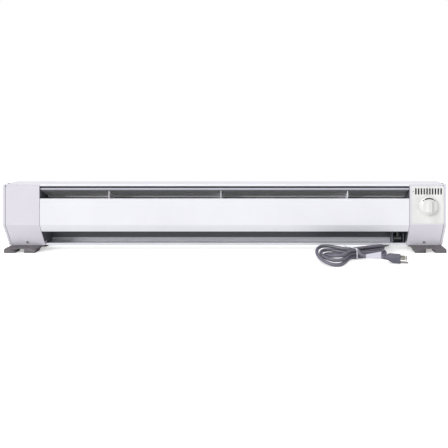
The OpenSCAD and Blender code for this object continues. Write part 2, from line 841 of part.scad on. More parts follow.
// Places along a strand, from one end of the bundle through its middle to the other
strand_steps = 6;
function strand(from, to) = [for (i = [0 : 2 * strand_steps])
    i <= strand_steps ? from * (1 - i / strand_steps) : to * (i / strand_steps - 1)];
function far_strand(turn) = let(end = turn == 0 ? right_arc : end_at(turn - 1))
    [for (along = strand(end, lobe_at(turn)))
        in_bundle(along, -half_width(along, turn, end), far_level(turn))];
function near_strand(turn, last_along) = [for (along = strand(lobe_at(turn), last_along))
    in_bundle(along, half_width(along, turn, end_at(turn)), near_level(turn))];
function wide_end(turn) = [for (a = [15 : 15 : 165])
    in_bundle(lobe_at(turn) - (lobe_length - turn * lobe_fall) * sin(a), -lobe_r(turn) * cos(a),
        ease(far_level(turn), near_level(turn), a / 180))];
function narrow_end(turn) = [for (a = [22.5 : 22.5 : 157.5])
    in_bundle(end_at(turn) + small_end * sin(a), small_end * cos(a),
        ease(near_level(turn), far_level(turn + 1), a / 180))];

plug_way = [cos(plug_angle), sin(plug_angle), 0];
neck = [plug_neck[0], front_y + plug_neck[1], plug_z];
straight_end = 46;                           // straight cord behind the plug
leave_along = 8;

// Steps of a cubic curve, without its two ends
function inner_curve(a, b, c, d, steps) = [for (p = curve(a, b, c, d, steps)) if (p != a && p != d) p];

// From the strain relief down behind the case and under it to the bundle
function lead_in() =
    let(inner_end = [cord_exit[0], front_y + cord_tip[1], foot_height + cord_exit[1]],
        out = [cord_exit[0], front_y + case_depth + 7, inner_end[2]],
        behind = [cap_in - 50, front_y + case_depth - 3, cord_floor],
        under = [cap_in - 69, front_y + toe_recess + 12, cord_floor],
        start = in_bundle(right_arc, -small_end, far_level(0)),
        way = unit(in_bundle(1, 0, 0) - in_bundle(0, 0, 0)))
    concat([inner_end],
        curve(out, out + [0, 18, 0], behind + [30, 18, 0], behind, 10),
        inner_curve(behind, behind - [9, 6, 0], under + [2, 12, 0], under, 4), [under],
        inner_curve(under, under - [3, 24, 0], start + 20 * way, start, 8));

function way_out() =
    let(from = in_bundle(leave_along, half_width(leave_along, last_turn, end_at(last_turn - 1)),
            near_level(last_turn)),
        to = neck - straight_end * plug_way)
    concat(inner_curve(from, from + [12, -6, 1], to - 22 * plug_way, to, 9), [to]);

module power_cord() {
    turns = [for (turn = [0 : last_turn]) each concat(far_strand(turn), wide_end(turn),
        near_strand(turn, turn == last_turn ? leave_along : end_at(turn)),
        turn == last_turn ? [] : narrow_end(turn))];
    color(cord_grey) swept_tube(concat(lead_in(), turns, way_out(), [neck]), cord_r, 8);
}

module cord_tie() {
    strap = 0.8;
    width = 4;
    inner = [2 * (tie_half + cord_r) + 2, cord_turns * cord_step + 0.4];
    low = cord_lift - 0.15;
    at = in_bundle(0, 0, low);
    outer = inner + 2 * [strap, strap];
    color("white") translate(at) rotate([0, 0, bundle_angle]) difference() {
        translate([-width / 2, -outer[0] / 2, -strap]) cube([width, outer[0], outer[1]]);
        translate([-width, -inner[0] / 2, 0]) cube([2 * width, inner[0], inner[1]]);
    }
}

// Places children at the plug's narrow end, with +X out along its blades
module at_plug() {
    translate(neck) rotate([0, 0, plug_angle]) children();
}

module cord_tag() {
    collar_r = cord_r + 0.8;
    color("white") at_plug() difference() {
        union() {
            translate([-40, 0, 0]) rotate([0, 90, 0]) cylinder(h = 30, r = collar_r);
            translate([-44, -collar_r, -4.5]) cube([36, 0.8, 19]);
        }
        translate([-50, 0, 0]) rotate([0, 90, 0]) cylinder(h = 60, r = cord_r + 0.05);
    }
}

blade_up = 3.4;                              // blades' middle over the plug's axis
blade_half = 6.35;                           // half the distance between the blades
pin_up = blade_up - 11.9;                    // ground pin's middle under the blades
pin_r = 2.4;
pin_root_r = 1.9;
plug_roll = 8;

module plug_body() {
    size = [20, 23];                         // width and height of its grip
    corner = 7;
    color(cord_grey) at_plug() rotate([plug_roll, 0, 0]) difference() {
        union() {
            translate([clear, 0, 0]) rotate([0, 90, 0]) cylinder(h = 12, r = 5.6);
            hull() {
                translate([8, 0, 0]) rotate([0, 90, 0]) cylinder(h = 1, r = 6, $fn = 32);
                for (y = [-1, 1], z = [-1, 1])
                    translate([20, y * (size[0] / 2 - corner), z * (size[1] / 2 - corner)])
                        rotate([0, 90, 0]) cylinder(h = plug_length - 20, r = corner, $fn = 32);
            }
        }
        for (s = [-1, 1]) translate([plug_length - 6, s * blade_half - 0.8, blade_up - 3.2])
            cube([10, 1.6, 6.4]);
        translate([plug_length - 6, 0, pin_up]) rotate([0, 90, 0]) cylinder(h = 10, r = pin_root_r + 0.02);
    }
}

module plug_blades() {
    thick = 1.5;
    width = 6.3;
    length = 16.1;                           // outside the plug's body
    hole_inset = 3.9;
    color("silver") at_plug() rotate([plug_roll, 0, 0]) for (s = [-1, 1])
        translate([plug_length, s * blade_half, blade_up]) difference() {
            translate([-5.9, -thick / 2, -width / 2]) cube([5.9 + length, thick, width]);
            translate([length - hole_inset, 0, 0]) rotate([90, 0, 0]) cylinder(h = 4, r = 1.6, center = true);
        }
}

module ground_pin() {
    length = 17;
    color("silver") at_plug() rotate([plug_roll, 0, 0])
        translate([plug_length + clear, 0, pin_up]) rotate([0, 90, 0]) union() {
            translate([0, 0, -6]) cylinder(h = 7, r = pin_root_r);
            cylinder(h = length, r = pin_r);
            translate([0, 0, length]) sphere(r = pin_r);
        }
}

case_shell();
front_panel();
air_deflector();
panel_brackets();
left_end_cap();
right_end_cap();
left_end_plate();
right_end_plate();
left_bulkhead();
right_bulkhead();
control_plate();
end_cap_screws();
top_screws();
left_foot();
right_foot();
foot_screws();
thermostat_knob();
thermostat_shaft();
thermostat_body();
thermostat_terminals();
thermostat_screws();
sensing_bulb();
element_sheath();
element_fins();
element_terminals();
element_bushings();
limit_switch();
limit_capillary();
tip_switch_frame();
tip_switch_pin();
tip_switch_pendulum();
tip_microswitch();
return_wire();
live_lead();
neutral_lead();
earth_lead();
control_leads();
tip_lead();
wire_connectors();
earth_screw();
bulkhead_grommets();
strain_relief();
power_cord();
cord_tie();
cord_tag();
plug_body();
plug_blades();
ground_pin();
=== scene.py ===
"""Looks for a portable baseboard heater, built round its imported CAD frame.

Metres, in the CAD's own frame: +Z up, +X towards the thermostat, -Y towards the front.
"""

import json
import math

import bmesh
import bpy
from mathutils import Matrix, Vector


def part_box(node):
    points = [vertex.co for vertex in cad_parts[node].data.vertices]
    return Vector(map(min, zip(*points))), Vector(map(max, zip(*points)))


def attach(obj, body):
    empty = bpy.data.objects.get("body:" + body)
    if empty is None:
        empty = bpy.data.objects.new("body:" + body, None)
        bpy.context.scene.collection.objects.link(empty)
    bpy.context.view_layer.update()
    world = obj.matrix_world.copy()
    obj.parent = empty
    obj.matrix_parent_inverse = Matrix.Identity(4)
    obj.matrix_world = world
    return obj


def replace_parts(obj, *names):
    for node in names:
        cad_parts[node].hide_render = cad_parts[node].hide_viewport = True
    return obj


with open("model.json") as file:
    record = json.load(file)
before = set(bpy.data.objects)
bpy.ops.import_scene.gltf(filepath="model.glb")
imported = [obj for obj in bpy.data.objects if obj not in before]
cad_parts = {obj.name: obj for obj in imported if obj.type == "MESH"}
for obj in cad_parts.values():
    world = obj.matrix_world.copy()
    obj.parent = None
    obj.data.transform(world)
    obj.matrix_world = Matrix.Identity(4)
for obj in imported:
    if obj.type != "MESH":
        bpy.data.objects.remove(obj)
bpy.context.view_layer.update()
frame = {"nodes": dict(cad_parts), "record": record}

MM = 0.001
CASE, KNOB = "case", "knob"                       # the bodies that pieces ride on
slot_of = {part["node"]: part["material_slot"] for part in frame["record"]["subparts"]}

case_low, case_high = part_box("case_shell")
front_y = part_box("front_panel")[0].y              # the front plane of the case
knob_low, knob_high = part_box("thermostat_knob")
knob_centre = Vector(((knob_low.x + knob_high.x) / 2, knob_high.y, (knob_low.z + knob_high.z) / 2))


# ---- Materials ----

def tint(red, green, blue):
    """A colour given as 0-255 screen values, as the linear colour that shaders take."""
    def linear(value):
        value /= 255
        return value / 12.92 if value <= 0.04045 else ((value + 0.055) / 1.055) ** 2.4
    return (linear(red), linear(green), linear(blue), 1)


def shade(colour, amount):
    """The colour made lighter (above 1) or darker (below 1)."""
    return tuple(min(1, part * amount) for part in colour[:3]) + (1,)


class Look:
    """A node material. Each method adds a node and returns the socket it puts out."""

    def __init__(self, name):
        self.material = bpy.data.materials.new(name)
        self.material.use_nodes = True
        tree = self.material.node_tree
        self.nodes, self.links = tree.nodes, tree.links
        self.shader = self.nodes["Principled BSDF"]
        self.place = self.nodes.new("ShaderNodeTexCoord").outputs["Object"]

    def feed(self, socket, value):
        """Links a socket to the value, or sets it if the value is plain."""
        if isinstance(value, bpy.types.NodeSocket):
            self.links.new(value, socket)
        else:
            socket.default_value = value

    def noise(self, size, detail=3, stretch=(1, 1, 1)):
        """Cloudy noise with features of the given size in metres, longer along a stretched axis."""
        mapping = self.nodes.new("ShaderNodeMapping")
        mapping.inputs["Scale"].default_value = [1 / s for s in stretch]
        self.links.new(self.place, mapping.inputs["Vector"])
        noise = self.nodes.new("ShaderNodeTexNoise")
        noise.inputs["Scale"].default_value = 1 / size
        noise.inputs["Detail"].default_value = detail
        self.links.new(mapping.outputs["Vector"], noise.inputs["Vector"])
        return noise.outputs["Fac"]

    def height(self):
        """The height over the floor, in metres."""
        parts = self.nodes.new("ShaderNodeSeparateXYZ")
        self.links.new(self.place, parts.inputs["Vector"])
        return parts.outputs["Z"]

    def spread(self, value, start, end, low, high):
        """Maps start..end of a value onto low..high, without going past them."""
        node = self.nodes.new("ShaderNodeMapRange")
        for name, number in (("Value", value), ("From Min", start), ("From Max", end),
                             ("To Min", low), ("To Max", high)):
            self.feed(node.inputs[name], number)
        return node.outputs["Result"]

    def multiply(self, a, b):
        """The product of two values."""
        node = self.nodes.new("ShaderNodeMath")
        node.operation = "MULTIPLY"
        self.feed(node.inputs[0], a)
        self.feed(node.inputs[1], b)
        return node.outputs["Value"]

    def mix(self, share, a, b):
        """Colour a, with a share of colour b."""
        node = self.nodes.new("ShaderNodeMix")
        node.data_type = "RGBA"
        first, second, mixed = node.inputs[6], node.inputs[7], node.outputs[2]   # its colour sockets
        self.feed(node.inputs["Factor"], share)
        self.feed(first, a)
        self.feed(second, b)
        return mixed

    def bump(self, height, depth, under=None):
        """Bump whose full height is depth metres, on top of another bump if one is given."""
        node = self.nodes.new("ShaderNodeBump")
        node.inputs["Distance"].default_value = depth
        self.links.new(height, node.inputs["Height"])
        if under is not None:
            self.links.new(under, node.inputs["Normal"])
        return node.outputs["Normal"]

    def made(self, colour, rough, normal=None, metal=0.0, coat=0.0, shine=0.5):
        """Sets the shader and returns the finished material."""
        self.feed(self.shader.inputs["Base Color"], colour)
        self.feed(self.shader.inputs["Roughness"], rough)
        self.feed(self.shader.inputs["Metallic"], metal)
        self.feed(self.shader.inputs["Coat Weight"], coat)
        self.feed(self.shader.inputs["Specular IOR Level"], shine)
        if normal is not None:
            self.feed(self.shader.inputs["Normal"], normal)
        return self.material


def powder_coat(name, colour):
    """Satin powder coat on steel: orange peel, faint clouding, and dust low down."""
    dust_top = 70 * MM
    look = Look(name)
    clouds = look.noise(0.15, 4)
    scuffs = look.noise(0.02, 6, stretch=(6, 1, 1))
    low_down = look.spread(look.height(), 0, dust_top, 1, 0)
    dust = look.multiply(low_down, look.spread(scuffs, 0.5, 0.75, 0, 0.35))
    paint = look.mix(look.spread(clouds, 0.35, 0.65, 0, 1), shade(colour, 0.975), shade(colour, 1.015))
    paint = look.mix(dust, paint, shade(colour, 0.75))
    rough = look.spread(scuffs, 0.35, 0.7, 0.36, 0.48)
    peel = look.bump(look.noise(0.0013, 1), 0.00003)
    return look.made(paint, rough, look.bump(clouds, 0.0002, peel))


def steel_with_painted_shade(name, colour, darker):
    """Bare sheet in the outlet, pale low down, with painted shade darkening it to grey towards its top under
    the case's top lip.
    """
    darkens_from, dark_from = 156 * MM, 168 * MM  # heights over the floor where the painted shade starts and where it is full
    look = Look(name)
    stains = look.noise(0.06, 4, stretch=(5, 1, 1))
    # painted shade: darker towards the top of the outlet, under the case's top lip
    base = look.mix(look.spread(look.height(), darkens_from, dark_from, 0, 1), colour, darker)
    base = look.mix(look.spread(stains, 0.45, 0.75, 0, 0.15), base, shade(darker, 0.8))
    return look.made(base, look.spread(stains, 0.3, 0.7, 0.38, 0.55), look.bump(stains, 0.0001), shine=0.4)


def worn_edge(name, colour):
    """Paint that has thinned over an edge, with small chips showing a greyer base."""
    look = Look(name)
    chips = look.noise(0.004, 6)
    paint = look.mix(look.spread(chips, 0.60, 0.66, 0, 0.7), shade(colour, 0.90), shade(colour, 0.45))
    return look.made(paint, look.spread(chips, 0.4, 0.7, 0.3, 0.5), look.bump(chips, 0.00005))


def moulded(name, colour, rough=0.45, grain=0.0006, depth=0.00004, coat=0.0):
    """Moulded plastic or rubber with a fine spark-eroded grain and faint flow marks."""
    look = Look(name)
    flow = look.noise(0.03, 4, stretch=(1, 1, 2.5))
    grains = look.noise(grain, 2)
    body = look.mix(look.spread(flow, 0.35, 0.65, 0, 1), shade(colour, 0.93), shade(colour, 1.06))
    body = look.mix(look.spread(grains, 0.55, 0.75, 0, 0.15), body, shade(colour, 0.7))
    rough = look.spread(flow, 0.3, 0.7, rough - 0.05, rough + 0.07)
    return look.made(body, rough, look.bump(grains, depth), coat=coat)


def plated(name, colour, rough=0.35, stretch=(1, 1, 1)):
    """Plated or drawn metal with fine lines along the stretched axis and dull spots."""
    look = Look(name)
    lines = look.noise(0.0008, 3, stretch)
    spots = look.noise(0.006, 5)
    skin = look.mix(look.spread(spots, 0.4, 0.7, 0, 1), colour, shade(colour, 0.6))
    rough = look.spread(spots, 0.35, 0.7, rough - 0.08, rough + 0.2)
    return look.made(skin, rough, look.bump(lines, 0.00003), metal=1.0)


def heated_steel(name):
    """Element sheath: dark oxide with straw and blue temper colours in bands."""
    look = Look(name)
    bands = look.noise(0.05, 3, stretch=(1, 4, 4))
    specks = look.noise(0.002, 4)
    skin = look.mix(look.spread(bands, 0.4, 0.6, 0, 1), tint(96, 84, 74), tint(74, 80, 96))
    skin = look.mix(look.spread(specks, 0.5, 0.7, 0, 0.6), skin, tint(48, 45, 44))
    return look.made(skin, look.spread(specks, 0.3, 0.7, 0.35, 0.6), look.bump(specks, 0.00004), metal=0.9)


def fired_ceramic(name, colour):
    """Chalky fired clay with pits and a few dark inclusions."""
    look = Look(name)
    pits = look.noise(0.0015, 5)
    body = look.mix(look.spread(pits, 0.60, 0.68, 0, 0.5), colour, shade(colour, 0.55))
    return look.made(body, 0.7, look.bump(pits, 0.00015))


def vinyl_cord(name, colour):
    """Matt vinyl jacket: extrusion lines, dusty patches and a soft sheen."""
    look = Look(name)
    patches = look.noise(0.04, 4)
    grain = look.noise(0.0009, 2)
    skin = look.mix(look.spread(patches, 0.35, 0.65, 0, 1), shade(colour, 0.88), shade(colour, 1.12))
    skin = look.mix(look.spread(grain, 0.5, 0.8, 0, 0.25), skin, shade(colour, 1.5))
    rough = look.spread(patches, 0.3, 0.7, 0.38, 0.52)
    return look.made(skin, rough, look.bump(grain, 0.00004), coat=0.1)


def label_paper(name, colour):
    """Coated label stock: short fibres and soft creases."""
    look = Look(name)
    fibres = look.noise(0.0007, 4, stretch=(3, 1, 1))
    creases = look.noise(0.012, 3, stretch=(1, 1, 2))
    body = look.mix(look.spread(fibres, 0.4, 0.7, 0, 1), shade(colour, 1.02), shade(colour, 0.93))
    return look.made(body, 0.55, look.bump(creases, 0.0006, look.bump(fibres, 0.00003)))


def printed_ink(name, colour):
    """Pad-printed ink, a little uneven at its grain."""
    look = Look(name)
    grain = look.noise(0.0004, 3)
    ink = look.mix(look.spread(grain, 0.45, 0.75, 0, 0.4), colour, shade(colour, 2.2))
    return look.made(ink, 0.5, look.bump(grain, 0.00001))


white = tint(226, 226, 232)
finishes = {
    "white_paint": powder_coat("white_powder_coat", white),
    # grey for the casing's inner faces: painted shade for the dark inside of the casing
    "inner_steel": powder_coat("grey_inner_painted_shade", tint(98, 100, 106)),
    "control_face": moulded("control_plate_satin", tint(222, 222, 221), 0.5, 0.0005, 0.00002),
    "knob_white": moulded("knob_plastic", tint(219, 219, 218), 0.32, 0.0008, 0.00001, coat=0.2),
    "foot_plastic": moulded("foot_plastic", tint(100, 96, 99), 0.55, 0.0009, 0.00008),
    "zinc_screws": plated("zinc", tint(168, 168, 166)),
    "switch_plastic": moulded("black_plastic", tint(62, 62, 67), 0.45),
    "grommet_rubber": moulded("black_rubber", tint(36, 36, 38), 0.7),
    "brass": plated("brass", tint(214, 178, 96), 0.3),
    "copper_tube": plated("copper", tint(196, 128, 86), 0.35, stretch=(8, 1, 1)),
    "sheath_steel": heated_steel("heated_steel"),
    "fin_aluminium": plated("mill_aluminium", tint(196, 198, 202), 0.4, stretch=(1, 1, 12)),
    "ceramic": fired_ceramic("ceramic", tint(224, 214, 196)),
    "galvanised": plated("galvanised", tint(158, 160, 170), 0.55),
    "pendulum_steel": plated("turned_steel", tint(110, 110, 112), 0.4, stretch=(12, 1, 1)),
    "red_insulation": moulded("red_sleeve", tint(150, 44, 38), 0.4),
    "black_insulation": moulded("black_insulation", tint(38, 38, 40), 0.35),
    "white_insulation": moulded("white_insulation", tint(226, 226, 224), 0.35),
    "green_insulation": moulded("green_insulation", tint(40, 132, 70), 0.35),
    "nut_plastic": moulded("wire_nut_plastic", tint(222, 178, 58), 0.35),
    "green_screw": plated("green_plating", tint(70, 150, 90)),
    "cord_vinyl": vinyl_cord("grey_vinyl", tint(99, 97, 109)),
    "tie_vinyl": moulded("tie_vinyl", tint(232, 232, 240), 0.3, coat=0.2),
    "tag_paper": label_paper("tag_paper", tint(195, 194, 205)),
    "plug_vinyl": vinyl_cord("plug_vinyl", tint(87, 86, 99)),
    "blade_metal": plated("nickel_plate", tint(168, 166, 158), 0.35, stretch=(10, 1, 1)),
}
edge_paint = worn_edge("white_edge", white)
end_paint = powder_coat("end_powder_coat", tint(211, 208, 217))
strip_paint = powder_coat("strip_powder_coat", tint(180, 179, 191))
# a paler white on the casing's inside floor: painted light where light comes in through the inlet
pan_painted_light = powder_coat("pan_painted_light_coat", tint(246, 245, 255))
# outlet sheet: pale low down, with painted shade towards its top
outlet_steel = steel_with_painted_shade("outlet_steel", tint(236, 236, 240), tint(120, 121, 126))
dial_ink = printed_ink("dial_ink", tint(34, 34, 36))
for node, thing in frame["nodes"].items():
    thing.data.materials[0] = finishes[slot_of[node]]


# ---- Shared mesh work ----

def cad_mesh(node):
    """A copy of a CAD node's mesh with its corners welded."""
    mesh = bmesh.new()
    mesh.from_mesh(frame["nodes"][node].data)
    bmesh.ops.remove_doubles(mesh, verts=mesh.verts, dist=1e-6)
    return mesh


def join_flats(mesh):
    """Joins the triangles of each flat area into a few faces, none of them with a hole in it."""
    bmesh.ops.remove_doubles(mesh, verts=mesh.verts, dist=0.1 * MM)
    bmesh.ops.dissolve_degenerate(mesh, edges=mesh.edges, dist=0.01 * MM)
    straight_on = math.radians(1.5)
    inner = [edge for edge in mesh.edges if edge.is_manifold and edge.calc_face_angle() < straight_on]
    for edge in sorted(inner, key=lambda edge: -edge.calc_length()):
        if not edge.is_valid:
            continue
        one, other = edge.link_faces
        if len(set(one.edges) & set(other.edges)) == 1:
            bmesh.utils.face_join((one, other))
    needless = [v for v in mesh.verts if len(v.link_edges) == 2 and v.calc_edge_angle() < straight_on]
    bmesh.ops.dissolve_verts(mesh, verts=needless)


def soften(mesh, width, sharper_than, material):
    """Rounds every edge that turns by more than an angle, and gives it a material place."""
    limit = math.radians(sharper_than)
    edges = [e for e in mesh.edges if e.is_manifold and e.calc_face_angle() > limit]
    bmesh.ops.bevel(mesh, geom=edges, offset=width, offset_type="OFFSET", segments=2, profile=0.5,
                    affect="EDGES", material=material, clamp_overlap=True, miter_outer="ARC")


def piece(name, mesh, body, like, materials=(), smooth=35):
    """Turns a mesh into a piece that rides on a body, with the given materials or else the finish of the
    material slot of the CAD node it is like.
    """
    data = bpy.data.meshes.new(name)
    mesh.normal_update()
    mesh.to_mesh(data)
    mesh.free()
    slot = slot_of[like]
    for material in materials or [finishes[slot]]:
        data.materials.append(material)
    data.shade_smooth()
    data.set_sharp_from_angle(angle=math.radians(smooth))
    made = bpy.data.objects.new(name, data)
    bpy.context.scene.collection.objects.link(made)
    made.modifiers.new("soft_shading", "WEIGHTED_NORMAL").keep_sharp = True
    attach(made, body)
    return made


def finished(node, mesh, body=CASE, materials=(), smooth=35):
    """Shows the mesh in a CAD node's place."""
    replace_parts(piece(node + "_finished", mesh, body, node, materials, smooth), node)


def refined(node, width, materials=(), edge_material=-1, paint=None, sharper_than=50, smooth=35):
    """Shows the CAD node with its edges rounded, unless the width is 0. paint may colour its faces."""
    mesh = cad_mesh(node)
    if width:
        join_flats(mesh)
        soften(mesh, width, sharper_than, edge_material)
    if paint is not None:
        paint(mesh)
    finished(node, mesh, CASE, materials, smooth)


def catmull(before, a, b, after, t):
    """Point of a smooth curve between a and b."""
    return 0.5 * (2 * a + (b - before) * t + (2 * before - 5 * a + 4 * b - after) * t ** 2
                  + (3 * a - before - 3 * b + after) * t ** 3)


def smooth_path(points, spacing):
    """A path through the points, with a new point about every spacing metres."""
    path = []
    for i in range(len(points) - 1):
        before, a, b = points[max(i - 1, 0)], points[i], points[i + 1]
        after = points[min(i + 2, len(points) - 1)]
        count = max(1, round((b - a).length / spacing))
        path += [catmull(before, a, b, after, step / count) for step in range(count)]
    return path + [points[-1]]


def sweep(mesh, path, section, closed=False, upright=Vector((0, 0, 1))):
    """Draws a section along a path. section(i) gives ring i as (side, up) offsets."""
    rings = []
    last = len(path) - 1
    for i, point in enumerate(path):
        ahead = path[(i + 1) % len(path)] if closed else path[min(i + 1, last)]
        behind = path[i - 1] if closed else path[max(i - 1, 0)]
        way = (ahead - behind).normalized()
        side = way.cross(upright).normalized()
        up = side.cross(way)
        rings.append([mesh.verts.new(point + a * side + b * up) for a, b in section(i)])
    join_rings(mesh, rings, closed)


def join_rings(mesh, rings, closed=False):
    """Walls between each ring and the next, and a flat end on each open end."""
    count = len(rings[0])
    pairs = zip(rings, rings[1:] + rings[:1]) if closed else zip(rings, rings[1:])
    for near, far in pairs:
        for k in range(count):
            mesh.faces.new((near[k], near[(k + 1) % count], far[(k + 1) % count], far[k]))
    if not closed:
        mesh.faces.new(reversed(rings[0]))
        mesh.faces.new(rings[-1])
    bmesh.ops.recalc_face_normals(mesh, faces=mesh.faces)


def polar(radius, angle):
    """Flat point at a radius and an angle."""
    return Vector((radius * math.cos(angle), radius * math.sin(angle)))


def turns(count):
    """Angles spread evenly over one full turn."""
    return [2 * math.pi * k / count for k in range(count)]


def squared(half_width, half_height, squareness, count):
    """Ring between an ellipse (squareness 2) and a rectangle (large squareness)."""
    def bulge(value):
        return math.copysign(abs(value) ** (2 / squareness), value)
    return [Vector((half_width * bulge(math.cos(a)), half_height * bulge(math.sin(a)))) for a in turns(count)]


def fillet(path, reach, steps=4, closed=False):
    """The path with each corner replaced by a curve that starts and ends a reach away from it."""
    rounded = []
    for i, corner in enumerate(path):
        if not closed and i in (0, len(path) - 1):
            rounded.append(corner)
            continue
        start = corner + (path[i - 1] - corner).normalized() * reach
        end = corner + (path[(i + 1) % len(path)] - corner).normalized() * reach
        for t in (k / steps for k in range(steps + 1)):
            rounded.append(start * (1 - t) ** 2 + corner * 2 * t * (1 - t) + end * t ** 2)
    return rounded


def loft(mesh, rings):
    """Closed solid through rings of points."""
    join_rings(mesh, [[mesh.verts.new(point) for point in ring] for ring in rings])


def thin_solid(mesh, front, back):
    """Closed sheet between two grids of points with the same numbers of rows and columns."""
    rows = [front_row + back_row[::-1] for front_row, back_row in zip(front, back)]
    loft(mesh, rows)


def combined(mesh, other, operation):
    """Boolean result of two closed meshes."""
    things = []
    for part in (mesh, other):
        data = bpy.data.meshes.new("operand")
        part.to_mesh(data)
        part.free()
        things.append(bpy.data.objects.new("operand", data))
        bpy.context.scene.collection.objects.link(things[-1])
    cut = things[0].modifiers.new("cut", "BOOLEAN")
    cut.operation = operation
    cut.solver = "EXACT"
    cut.object = things[1]
    result = bmesh.new()
    result.from_object(things[0], bpy.context.evaluated_depsgraph_get())
    for thing in things:
        bpy.data.meshes.remove(thing.data)
    return result


# ---- Casing ----

EDGE, PAINTED_SHADE_INSIDE, PAINTED_LIGHT_PAN = 1, 2, 3                        # material places on a piece of sheet, after its outer paint: worn edges, painted shade inside, painted light on the inside floor
STRIP = 1                                         # material place of the deflector's upright strip
fold, flat = 15, 5                                # degrees; folds turn by more, flat sheet by less
painted_light_below = case_low.z + 12 * MM                 # inside the casing, painted light below this height and painted shade above it
strip_depth = 4 * MM                              # the strip lies within this depth of the front plane


def paint_inside_shade_and_light(mesh):
    """Gives the faces that look into the casing a grey painted shade above a height, and its floor a paler
    painted light below it; the low walls keep the outer white as painted light.
    """
    level = {"plane_co": Vector((0, 0, painted_light_below)), "plane_no": Vector((0, 0, 1))}
    bmesh.ops.bisect_plane(mesh, geom=mesh.verts[:] + mesh.edges[:] + mesh.faces[:], **level)
    reach = 400 * MM                              # a point this far out sees the end walls as facing in
    middle = (case_low + case_high) / 2
    for face in mesh.faces:
        at = face.calc_center_median()
        inside = Vector((max(-reach, min(reach, at.x)), middle.y, middle.z))
        # painted shade: grey on faces that look into the casing above the height
        if at.z > painted_light_below and face.normal.z < 0.5 and face.normal.dot(inside - at) > 0:
            face.material_index = PAINTED_SHADE_INSIDE
        # painted light: the paler floor below the height
        elif at.z < painted_light_below and face.normal.z > 0.9:
            face.material_index = PAINTED_LIGHT_PAN


def paint_strip(mesh):
    """Gives the deflector's upright strip, which stands in the outlet's mouth, its own paint."""
    for face in mesh.faces:
        if face.normal.y < -0.9 and face.calc_center_median().y < front_y + strip_depth:
            face.material_index = STRIP


def build_sheet(node, width, paints):
    """A piece of bent sheet, painted outside and inside."""
    refined(node, width, paints, EDGE, paint_inside_shade_and_light, fold, flat)


def build_casing():
    """The case's outside pieces and its feet. The end caps' and the feet's edges are left sharp."""
    # outer white, worn edges, painted shade inside and painted light on the inside floor
    sheet_paints = [finishes["white_paint"], edge_paint, finishes["inner_steel"], pan_painted_light]
    end_paints = [end_paint] + sheet_paints[1:]
    for node in ("case_shell", "front_panel"):
        build_sheet(node, 0.25 * MM, sheet_paints)
    for side in ("left", "right"):
        build_sheet(side + "_end_cap", 0, end_paints)
        build_sheet(side + "_end_plate", 0.45 * MM, end_paints)
        refined(side + "_foot", 0)
    refined("panel_brackets", 0.2 * MM, sheet_paints[:2], EDGE)
    refined("air_deflector", 0.25 * MM, [outlet_steel, strip_paint], paint=paint_strip)
    refined("control_plate", 0.2 * MM, smooth=flat)
    for node in ("end_cap_screws", "top_screws", "foot_screws"):
        refined(node, 0.15 * MM)
    refined("strain_relief", 0.5 * MM)


# ---- Knob and its marks ----

skirt_r, skirt_rim, skirt_h = 26.5 * MM, 2.5 * MM, 10 * MM   # radius, height of its rim, whole height
face_r = 19.5 * MM                                # radius of the disc on top of the skirt
mark_r = 21.8 * MM                                # radius that the printed marks lie on
ink_over, ink_under = 0.06 * MM, 0.3 * MM         # how far ink stands over a surface and sinks into it


def from_knob(across, out):
    """A point given across the knob and out along its axis, as a point in the frame."""
    return knob_centre + Vector((across.x, -out, across.y))


def build_knob():
    """Hollow skirt, raised disc and a drafted grip, with a bore for the shaft."""
    hub_r, hollow_r, hollow_h = 7.5 * MM, 17 * MM, 6 * MM
    skirt_wall = 2 * MM
    # Radius and height of each corner. The first point and the last lie on the flat ends and stay sharp
    hub = [(hub_r - 1.5 * MM, 0), (hub_r, 0), (hub_r, hollow_h)]
    rim = [(hollow_r, hollow_h), (skirt_r - skirt_wall, 0), (skirt_r, 0), (skirt_r, skirt_rim)]
    disc = [(face_r, skirt_h), (face_r - 2.5 * MM, skirt_h)]
    rounded = fillet([Vector(point) for point in hub + rim + disc], 0.7 * MM, 3)
    skirt = bmesh.new()
    loft(skirt, [[from_knob(polar(point.x, a), point.y) for a in turns(96)] for point in rounded])

    # Height over the disc, then the grip's half width and half length there
    sections = ((-1, 9.6, 16.6), (0, 9.2, 16.4), (5.6, 5.4, 15.2), (6.5, 5.0, 14.9), (7, 4.2, 14.2))
    rings = []
    for out, across, along in sections:
        corners = [Vector((x * across, z * along)) * MM for x, z in ((1, 1), (-1, 1), (-1, -1), (1, -1))]
        outline = fillet(corners, 2.2 * MM, 5, closed=True)
        rings.append([from_knob(point, skirt_h + out * MM) for point in outline])
    grip = bmesh.new()
    loft(grip, rings)

    bore_r, bore_from, bore_to = 3.05 * MM, -3 * MM, 12.1 * MM
    bore = bmesh.new()
    loft(bore, [[from_knob(polar(bore_r, a), out) for a in turns(32)] for out in (bore_from, bore_to)])
    finished("thermostat_knob", combined(combined(skirt, grip, "UNION"), bore, "DIFFERENCE"), KNOB)


def on_skirt(radius, angle, lift):
    """Point over the knob's sloping skirt, with the angle measured from its top."""
    slope = (skirt_h - skirt_rim) / (skirt_r - face_r)
    out = skirt_rim + (skirt_r - radius) * slope
    return from_knob(Vector((radius * math.sin(angle), radius * math.cos(angle))), out + lift)


def skirt_mark(name, width, from_angle, to_angle, steps):
    """An inked patch that follows the skirt between two angles in degrees."""
    angles = [math.radians(from_angle + (to_angle - from_angle) * i / steps) for i in range(steps + 1)]
    radii = (mark_r - width / 2, mark_r + width / 2)
    grids = [[[on_skirt(r, a, lift) for r in radii] for a in angles] for lift in (ink_over, -ink_under)]
    mesh = bmesh.new()
    thin_solid(mesh, *grids)
    piece(name, mesh, KNOB, "thermostat_knob", [dial_ink])


